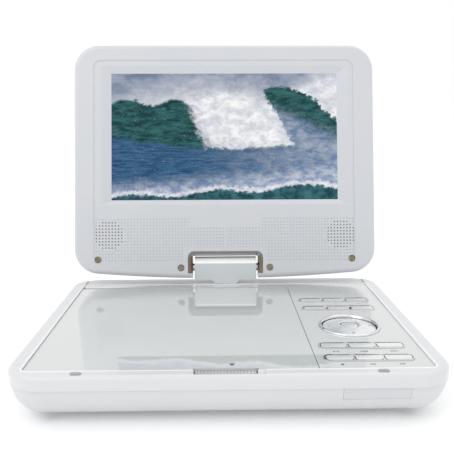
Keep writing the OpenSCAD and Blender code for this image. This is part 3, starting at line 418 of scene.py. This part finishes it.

# %% [markdown]
# ## Every solid part gets its finish
# A solid part keeps its mesh; only its material slots change. Parts that CAD coloured in two tones
# have two slots, and every slot of a part gets the one finish listed for it.

# %% Give the parts their finishes
keys = [f"btn_{row}_{n}" for row in ("top", "menu", "play", "skip") for n in (1, 2, 3)]
part_finishes = {
    shell_plastic: ["base_upper_shell"],
    lower_plastic: ["base_lower_shell"],
    deck_gloss: ["control_panel", "disc_door"],
    bright_chrome: ["row_frames", "nav_ring"],
    silver_lacquer: keys + ["nav_pad", "ok_button", "open_button", "power_slider"],
    hinge_lacquer: ["hinge_cover_front", "hinge_cover_rear"],
    grey_rubber: ["rim_bumpers", "nav_carrier"],
    black_rubber: ["feet", "drive_dampers"],
    brass_plate: ["lid_screws"],
    receiver_window: ["ir_window"],
    pale_nylon: ["feed_gear", "feed_pinion", "swivel_bush"],
    dark_plastic: ["pickup_sled"],
    port_plastic: ["dc_jack", "av_jack", "headphone_jack", "usb_port"],
    turned_steel: ["guide_rods", "door_pins", "base_screws", "tilt_axle", "swivel_shaft",
                   "lid_hinge_plates", "spindle_motor", "feed_motor"],
    plated_sheet: ["drive_chassis", "lcd_panel"],
    spindle_plastic: ["spindle_hub", "speakers"],
    cable_jacket: ["lcd_cable"],
    battery_sleeve: ["battery_pack"],
    lens_glass: ["pickup_lens"],
    main_board_finish: ["main_board", "key_board"],
    lid_board_finish: ["lcd_driver_board"],
    lid_front: ["lid_bezel"],
    lid_back_plastic: ["lid_back_cover"],
    liner_chrome_painted_reflections: ["notch_trim"],
}
for material, names in part_finishes.items():
    for name in names:
        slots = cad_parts[name].material_slots
        for slot in slots:
            slot.material = material
left_over = sorted(set(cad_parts) - {n for names in part_finishes.values() for n in names})
for name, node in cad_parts.items():
    if len(node.material_slots) != 1:
        print("  slots:", name, [s.name for s in node.material_slots])
print("finishes given:", len(part_finishes), "without one:", left_over)

# %% [markdown]
# ## Making a piece
# A new piece is modelled in a bmesh, put in place by a matrix that is applied to its vertices, and
# rides on a body of the model. Its object stays at the origin, so patterns on it never slide.

# %% Piece helpers
def make_piece(name, mesh_builder, body, material, place=None):
    mesh = bpy.data.meshes.new(name)
    bm = bmesh.new()
    mesh_builder(bm)
    if place is not None:
        bmesh.ops.transform(bm, matrix=place, verts=bm.verts)
    bmesh.ops.recalc_face_normals(bm, faces=bm.faces)
    bm.to_mesh(mesh)
    bm.free()
    piece = bpy.data.objects.new(name, mesh)
    bpy.context.scene.collection.objects.link(piece)
    mesh.materials.append(material)
    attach(piece, body)
    print("  piece:", name, len(mesh.polygons), "faces, rides on", body)


def thicken(bm, faces, height):
    """Extrudes flat faces up by height, so that a film, a cloth or a printed mark is closed."""
    grown = bmesh.ops.extrude_face_region(bm, geom=faces)["geom"]
    raised = [g for g in grown if isinstance(g, bmesh.types.BMVert)]
    bmesh.ops.translate(bm, vec=(0, 0, height), verts=raised)


print("piece helpers are ready")

# %% [markdown]
# ## The lit picture
# The screen plays a sea scene. It is drawn by nodes on the film's own UV map, from 0 to 1 each
# way: a misty sky, two breaking waves with foam, deep water and a nearer crest. Each region is a
# smooth step along a bent line, and noise tears its edge. The result is emitted light over a dark
# film.

# %% Picture material
picture_light, tree, shader = start_material("lit picture")
uv = add(tree, "ShaderNodeTexCoord").outputs["UV"]
wide = add(tree, "ShaderNodeMapping", {"Vector": uv, "Scale": (1.78, 1.0, 1.0)}).outputs[0]
axes = add(tree, "ShaderNodeSeparateXYZ", {0: uv})
coarse = calc(tree, "SUBTRACT", noise(tree, wide, 7.0, 6.0, 0.65), 0.5)
torn = calc(tree, "SUBTRACT", noise(tree, wide, 28.0, 6.0, 0.75), 0.5)
u = calc(tree, "MULTIPLY_ADD", coarse, 0.06, axes.outputs["X"])
v = calc(tree, "MULTIPLY_ADD", coarse, 0.07, axes.outputs["Y"])
v = calc(tree, "MULTIPLY_ADD", torn, 0.07, v)
u = calc(tree, "MULTIPLY_ADD", torn, 0.05, u)


def line(a, b):
    """a + b * u, the height of a slanting line."""
    return calc(tree, "MULTIPLY_ADD", u, b, a)


def hump(middle, top, drop):
    """top - drop * (u - middle) squared, the outline of a crest."""
    off = calc(tree, "SUBTRACT", u, middle)
    return calc(tree, "MULTIPLY_ADD", calc(tree, "MULTIPLY", off, off), -drop, top)


def below(height, soft):
    return step(tree, calc(tree, "SUBTRACT", height, v), -soft, soft)


def streaks(angle, stretch, scale, dark, light):
    inputs = {"Vector": wide, "Rotation": (0, 0, radians(angle)), "Scale": (1.0, stretch, 1.0)}
    turned = add(tree, "ShaderNodeMapping", inputs).outputs[0]
    return blend_colour(tree, step(tree, noise(tree, turned, scale, 8.0, 0.72, 0.3), 0.36, 0.66),
                        paint(*dark), paint(*light))


sky = streaks(28, 2.2, 4.5, (0.15, 0.20, 0.31), (0.34, 0.38, 0.48))
foam = streaks(62, 1.6, 9.0, (0.62, 0.64, 0.70), (0.97, 0.97, 0.98))
teal = streaks(-38, 3.5, 8.0, (0.002, 0.035, 0.045), (0.035, 0.15, 0.145))
green = streaks(40, 3.0, 8.0, (0.002, 0.04, 0.045), (0.04, 0.15, 0.15))
water = streaks(3, 9.0, 7.0, (0.008, 0.06, 0.14), (0.065, 0.16, 0.30))
mist = streaks(15, 1.8, 9.0, (0.24, 0.33, 0.52), (0.74, 0.76, 0.84))
near = streaks(70, 1.2, 10.0, (0.003, 0.045, 0.06), (0.05, 0.17, 0.20))

picture = sky
spray = calc(tree, "MULTIPLY", below(hump(0.42, 0.93, 0.9), 0.16), 0.62)
picture = blend_colour(tree, spray, picture, foam)
right_spray = calc(tree, "MULTIPLY", below(hump(1.02, 1.02, 3.0), 0.1), 0.9)
picture = blend_colour(tree, right_spray, picture, foam)
shadowed = blend_colour(tree, below(line(0.36, 0.0), 0.12), teal, water)
fall = calc(tree, "SUBTRACT", v, line(2.35, -4.6))
swell = calc(tree, "MULTIPLY_ADD", calc(tree, "SINE", calc(tree, "MULTIPLY", u, 26.0)), 0.03,
             hump(0.17, 0.78, 0.8))
left_wave = calc(tree, "MULTIPLY", below(swell, 0.012),
                 calc(tree, "SUBTRACT", 1.0, step(tree, fall, -0.12, 0.12)))
left_wave = calc(tree, "MAXIMUM", left_wave, below(line(0.36, 0.08), 0.02))
picture = blend_colour(tree, left_wave, picture, shadowed)
above_foot = step(tree, calc(tree, "SUBTRACT", v, hump(0.58, 0.42, -1.4)), -0.01, 0.03)
above_slope = step(tree, calc(tree, "SUBTRACT", v, line(0.95, -1.25)), -0.03, 0.06)
fallen = calc(tree, "MULTIPLY", step(tree, fall, -0.12, 0.12), above_slope)
fallen = calc(tree, "MULTIPLY", below(hump(0.5, 0.84, 2.2), 0.03), fallen)
white_water = calc(tree, "MULTIPLY", above_foot, fallen)
picture = blend_colour(tree, white_water, picture, foam)
right_edge = step(tree, calc(tree, "SUBTRACT", v, line(2.85, -3.0)), -0.02, 0.05)
right_wave = calc(tree, "MULTIPLY", right_edge, below(hump(0.74, 0.89, 4.2), 0.012))
shallow = blend_colour(tree, 0.45, water, mist)
right_face = blend_colour(tree, below(line(1.28, -0.78), 0.08), green, shallow)
picture = blend_colour(tree, right_wave, picture, right_face)
sea = below(hump(0.55, 0.40, -0.35), 0.015)
open_sea = blend_colour(tree, calc(tree, "MULTIPLY", step(tree, u, 0.3, 1.0), 0.5), water, mist)
picture = blend_colour(tree, calc(tree, "MULTIPLY", sea, 0.96), picture, open_sea)
glints = step(tree, noise(tree, wide, 60.0, 3.0, 0.6), 0.62, 0.72)
picture = blend_colour(tree, calc(tree, "MULTIPLY", glints, 0.3), picture, paint(0.7, 0.75, 0.82))
haze = calc(tree, "MULTIPLY", below(line(0.10, 0.13), 0.09), 0.8)
picture = blend_colour(tree, haze, picture, mist)
ripple = calc(tree, "SINE", calc(tree, "MULTIPLY", u, 17.0))
crests = calc(tree, "ADD", calc(tree, "MULTIPLY", ripple, 0.018), line(0.02, 0.10))
picture = blend_colour(tree, below(crests, 0.01), picture, near)
caps = calc(tree, "MULTIPLY", below(calc(tree, "ADD", crests, 0.03), 0.012),
            calc(tree, "SUBTRACT", 1.0, below(crests, 0.012)))
picture = blend_colour(tree, calc(tree, "MULTIPLY", caps, 0.8), picture, foam)
tree.links.new(picture, shader.inputs["Emission Color"])
matt = calc(tree, "MULTIPLY_ADD", noise(tree, wide, 90.0), 0.1, 0.45)
tree.links.new(matt, shader.inputs["Roughness"])
settle(shader, {"Base Color": paint(0.003, 0.003, 0.003), "Emission Strength": 0.97,
                "Specular IOR Level": 0.08})
print("picture material:", len(tree.nodes), "nodes")

# %% [markdown]
# The film itself is a flat grid with its UV map made by the operator, laid in the panel's recess
# just behind the bevelled window, and given a little thickness.

# %% Picture film
PICTURE_W, PICTURE_H, PICTURE_MID, FILM_Z = 152.4, 86.0, 87.9, 5.53


def picture_film(bm):
    bm.loops.layers.uv.new("UVMap")
    bmesh.ops.create_grid(bm, x_segments=24, y_segments=14, size=0.5, calc_uvs=True)
    thicken(bm, bm.faces[:], 0.15)
    bmesh.ops.scale(bm, vec=(PICTURE_W, PICTURE_H, 1), verts=bm.verts)
    bmesh.ops.translate(bm, vec=(0, PICTURE_MID, FILM_Z), verts=bm.verts)
    bmesh.ops.scale(bm, vec=(MM, MM, MM), verts=bm.verts)


make_piece("picture_film", picture_film, "lid", picture_light, lid_place)

# %% [markdown]
# ## Speaker cloth
# Behind each field of square holes a disc of woven grey cloth keeps dust off the cone. The weave
# is two sine waves at right angles in the cloth's own plane.

# %% Speaker cloth
cloth, tree, shader = start_material("speaker cloth")
axes = add(tree, "ShaderNodeSeparateXYZ", {0: millimetres(tree, True)})
warp = calc(tree, "SINE", calc(tree, "MULTIPLY", axes.outputs["X"], 16.0))
weft = calc(tree, "SINE", calc(tree, "MULTIPLY", axes.outputs["Y"], 16.0))
weave = calc(tree, "MULTIPLY_ADD", calc(tree, "MULTIPLY", warp, weft), 0.5, 0.5)
tree.links.new(blend_colour(tree, weave, paint(0.74, 0.75, 0.76), paint(0.88, 0.89, 0.90)),
               shader.inputs["Base Color"])
tree.links.new(calc(tree, "MULTIPLY_ADD", weave, 0.1, 0.8), shader.inputs["Roughness"])
bump = add(tree, "ShaderNodeBump", {"Height": weave, "Distance": 0.05 * MM})
tree.links.new(bump.outputs[0], shader.inputs["Normal"])


CLOTH_R, CLOTH_T, CLOTH_Z = 11.3 * MM, 0.14 * MM, 6.8 * MM


def cloth_disc(side):
    def build(bm):
        bmesh.ops.create_circle(bm, cap_ends=True, radius=CLOTH_R, segments=48)
        thicken(bm, bm.faces[:], CLOTH_T)
        place = (side * SPEAKER_X * MM, SPEAKER_Y * MM, CLOTH_Z)
        bmesh.ops.translate(bm, vec=place, verts=bm.verts)
    return build


for side, word in ((-1, "left"), (1, "right")):
    make_piece(f"speaker_cloth_{word}", cloth_disc(side), "lid", cloth, lid_place)

# %% [markdown]
# ## Bead round the deck
# A rounded bead lines the step between the rim and the sunken deck. Its colour is lighter than the
# shell's, a painted highlight for the light the step's edge catches. It starts as one face a bead's
# width larger than the deck, gets round corners from a vertex bevel and becomes a ring by an inset.
# The ring is cut away at the finger scoop, raised, and its upper edges are bevelled round. Behind,
# where the rim drops for the hinge, it is lower.

# %% Deck bead
# painted highlight: the bead is coloured lighter than the shell plastic
bead_painted_highlight = finish("bead with painted highlight", (0.80, 0.81, 0.82), (0.84, 0.845, 0.85), 0.08, 0.14,
                      grain=5.0, depth=0.004, Coat_Weight=0.7, Coat_Roughness=0.04)
BEAD_W, BEAD_R, BEAD_OUT, BEAD_ROUND = 1.25 * MM, 4.3 * MM, 1.3 * MM, 0.42 * MM
SCOOP_LOW, SCOOP_HIGH = -16.6 * MM, 16.0 * MM
BEAD_LOW, BEAD_REAR = deck_top - 0.5 * MM, deck_top + 0.4 * MM
bead_top = shell_high.z + 0.14 * MM


def deck_bead(bm):
    x, y0, y1 = deck_high.x + BEAD_OUT, deck_low.y - BEAD_OUT, deck_high.y + BEAD_OUT
    bmesh.ops.create_grid(bm, x_segments=1, y_segments=1, size=1)
    for vert in bm.verts:
        vert.co = (x if vert.co.x > 0 else -x, y1 if vert.co.y > 0 else y0, BEAD_LOW)
    bmesh.ops.bevel(bm, geom=bm.verts[:], affect="VERTICES", offset=BEAD_R, segments=10,
                    profile=0.5, material=-1)
    bmesh.ops.inset_region(bm, faces=bm.faces[:], thickness=BEAD_W, use_even_offset=True,
                           use_boundary=True)
    bmesh.ops.delete(bm, geom=[max(bm.faces, key=lambda f: f.calc_area())], context="FACES")
    for cut in (SCOOP_LOW, SCOOP_HIGH):
        bmesh.ops.bisect_plane(bm, geom=bm.verts[:] + bm.edges[:] + bm.faces[:],
                               plane_co=(cut, 0, 0), plane_no=(1, 0, 0))
    scooped = [f for f in bm.faces if f.calc_center_median().y < 0
               and SCOOP_LOW < f.calc_center_median().x < SCOOP_HIGH]
    bmesh.ops.delete(bm, geom=scooped, context="FACES")
    ring = bm.faces[:]
    grown = bmesh.ops.extrude_face_region(bm, geom=ring)["geom"]
    top = [g for g in grown if isinstance(g, bmesh.types.BMVert)]
    for vert in top:
        vert.co.z = BEAD_REAR if vert.co.y > y1 - 0.6 * BEAD_R else bead_top
    edges = {e for f in grown if isinstance(f, bmesh.types.BMFace) for e in f.edges
             if any(other not in grown for other in e.link_faces)}
    bmesh.ops.bevel(bm, geom=list(edges), affect="EDGES", offset=BEAD_ROUND, segments=4,
                    profile=0.5, material=-1)


make_piece("deck_bead", deck_bead, "base", bead_painted_highlight)

# %% [markdown]
# ## Printed arrows
# Under the two front key rows are the usual transport marks, under the two rear rows short dashes,
# and an arrow points at the opening slider. Each mark is a flat shape of a few vertices with a
# skin of ink 0.03 mm thick. The arrow on the disc door rides on the door.

# %% Printed arrows
ink = finish("grey ink", (0.05, 0.055, 0.06), (0.10, 0.105, 0.11), 0.3, 0.45, grain=12.0,
             depth=0.002)
INK_H = 0.03 * MM
ARROW_X, ARROW_BACK, ARROW_R, MARK_R = 1.0, 4.6, 1.7, 0.85
MARKS_BELOW, DASHES_BELOW = 3.6, 3.0


def triangle(bm, x, y, size, angle):
    made = bmesh.ops.create_circle(bm, cap_ends=True, radius=size * MM, segments=3,
                                   matrix=Matrix.Rotation(radians(angle - 90), 4, "Z"))["verts"]
    bmesh.ops.translate(bm, vec=(x * MM, y * MM, deck_top), verts=made)


def bar(bm, x, y, width, height):
    made = bmesh.ops.create_grid(bm, x_segments=1, y_segments=1, size=0.5)["verts"]
    bmesh.ops.scale(bm, vec=(width * MM, height * MM, 1), verts=made)
    bmesh.ops.translate(bm, vec=(x * MM, y * MM, deck_top), verts=made)


def transport_marks(bm):
    low = [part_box(f"btn_{row}_1")[0].y / MM - MARKS_BELOW for row in ("play", "skip")]
    xs = [sum(v.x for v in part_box(f"btn_play_{n}")) / 2 / MM for n in (1, 2, 3)]
    for side, x in ((180, xs[1]), (0, xs[2])):
        step_x = -1 if side else 1
        for row, y in enumerate(low):
            triangle(bm, x - 0.9 * step_x, y, MARK_R, side)
            triangle(bm, x + 0.5 * step_x, y, MARK_R, side)
            if row == 0:
                bar(bm, x + 1.75 * step_x, y, 0.35, 1.5)
    triangle(bm, xs[0] - 1.1, low[0], MARK_R, 0)
    bar(bm, xs[0] + 0.4, low[0], 0.35, 1.5)
    bar(bm, xs[0] + 1.1, low[0], 0.35, 1.5)
    bar(bm, xs[0], low[1], 1.4, 1.4)
    for row in ("top", "menu"):
        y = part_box(f"btn_{row}_1")[0].y / MM - DASHES_BELOW
        for x in xs:
            bar(bm, x, y, 1.1, 0.3)
    thicken(bm, bm.faces[:], INK_H)


def open_mark(bm):
    slider_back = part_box("open_button")[1].y / MM
    triangle(bm, ARROW_X, slider_back + ARROW_BACK, ARROW_R, 270)
    thicken(bm, bm.faces[:], INK_H)


make_piece("transport_marks", transport_marks, "base", ink)
make_piece("open_mark", open_mark, "disc_door", ink)

# %% [markdown]
# ## Stage
# The floor is a wide plain pale plane under a white surround, so no horizon shows. Two large soft
# lamps and a bright even surround keep shadows gentle, as on a shop's display stand.

# %% Floor and lights
FLOOR_HALF, FLOOR_GAP = 6.0, 0.01 * MM
floor_mesh = bpy.data.meshes.new("floor")
bm = bmesh.new()
bmesh.ops.create_grid(bm, x_segments=1, y_segments=1, size=FLOOR_HALF)
bmesh.ops.translate(bm, vec=(0, 0, cad_box[0][2] - FLOOR_GAP), verts=bm.verts)
bm.to_mesh(floor_mesh)
bm.free()
floor = bpy.data.objects.new("floor", floor_mesh)
bpy.context.scene.collection.objects.link(floor)
floor_paint, tree, shader = start_material("pale floor")
tree.links.new(calc(tree, "MULTIPLY_ADD", noise(tree, millimetres(tree), 0.01), 0.05, 0.6),
               shader.inputs["Roughness"])
settle(shader, {"Base Color": paint(0.93, 0.93, 0.93), "Specular IOR Level": 0.2,
                "Emission Color": paint(1, 1, 1), "Emission Strength": 0.1})
floor_mesh.materials.append(floor_paint)

world = bpy.data.worlds.new("surround")
bpy.context.scene.world = world
world.use_nodes = True
settle(world.node_tree.nodes["Background"], {"Color": paint(1, 1, 1), "Strength": 1.0})


def soft_lamp(name, place, target, size, power):
    data = bpy.data.lights.new(name, "AREA")
    data.shape, data.size, data.energy = "SQUARE", size, power
    lamp = bpy.data.objects.new(name, data)
    lamp.location = place
    lamp.rotation_euler = (Vector(target) - Vector(place)).to_track_quat("-Z", "Y").to_euler()
    bpy.context.scene.collection.objects.link(lamp)


soft_lamp("key_lamp", (-0.7, -0.6, 1.1), (0, 0, 0.05), 0.9, 3.5)
soft_lamp("top_lamp", (0.4, 0.3, 1.3), (0, 0, 0.0), 1.0, 2.0)
print("stage is ready")

# %% [markdown]
# ## Camera
# The player is seen from the front, from a third of a metre away, with the camera turned eleven
# degrees down.

# %% Camera
camera_data = bpy.data.cameras.new("camera")
LENS_MM, SENSOR_MM = 47.46, 36.0
CAMERA_PLACE = Vector((-5.5, -322.3, 135.9)) * MM
LOOK_DOWN, LEVEL, TURN = 10.91, 0.17, -1.01
camera_data.lens, camera_data.sensor_width = LENS_MM, SENSOR_MM
camera_data.clip_start = 0.01
camera = bpy.data.objects.new("camera", camera_data)
camera.location = CAMERA_PLACE
camera.rotation_euler = (radians(90 - LOOK_DOWN), radians(LEVEL), radians(TURN))
bpy.context.scene.collection.objects.link(camera)
bpy.context.scene.camera = camera
bpy.context.scene.view_settings.view_transform = "Standard"
print("camera at", [round(v, 3) for v in camera.location])
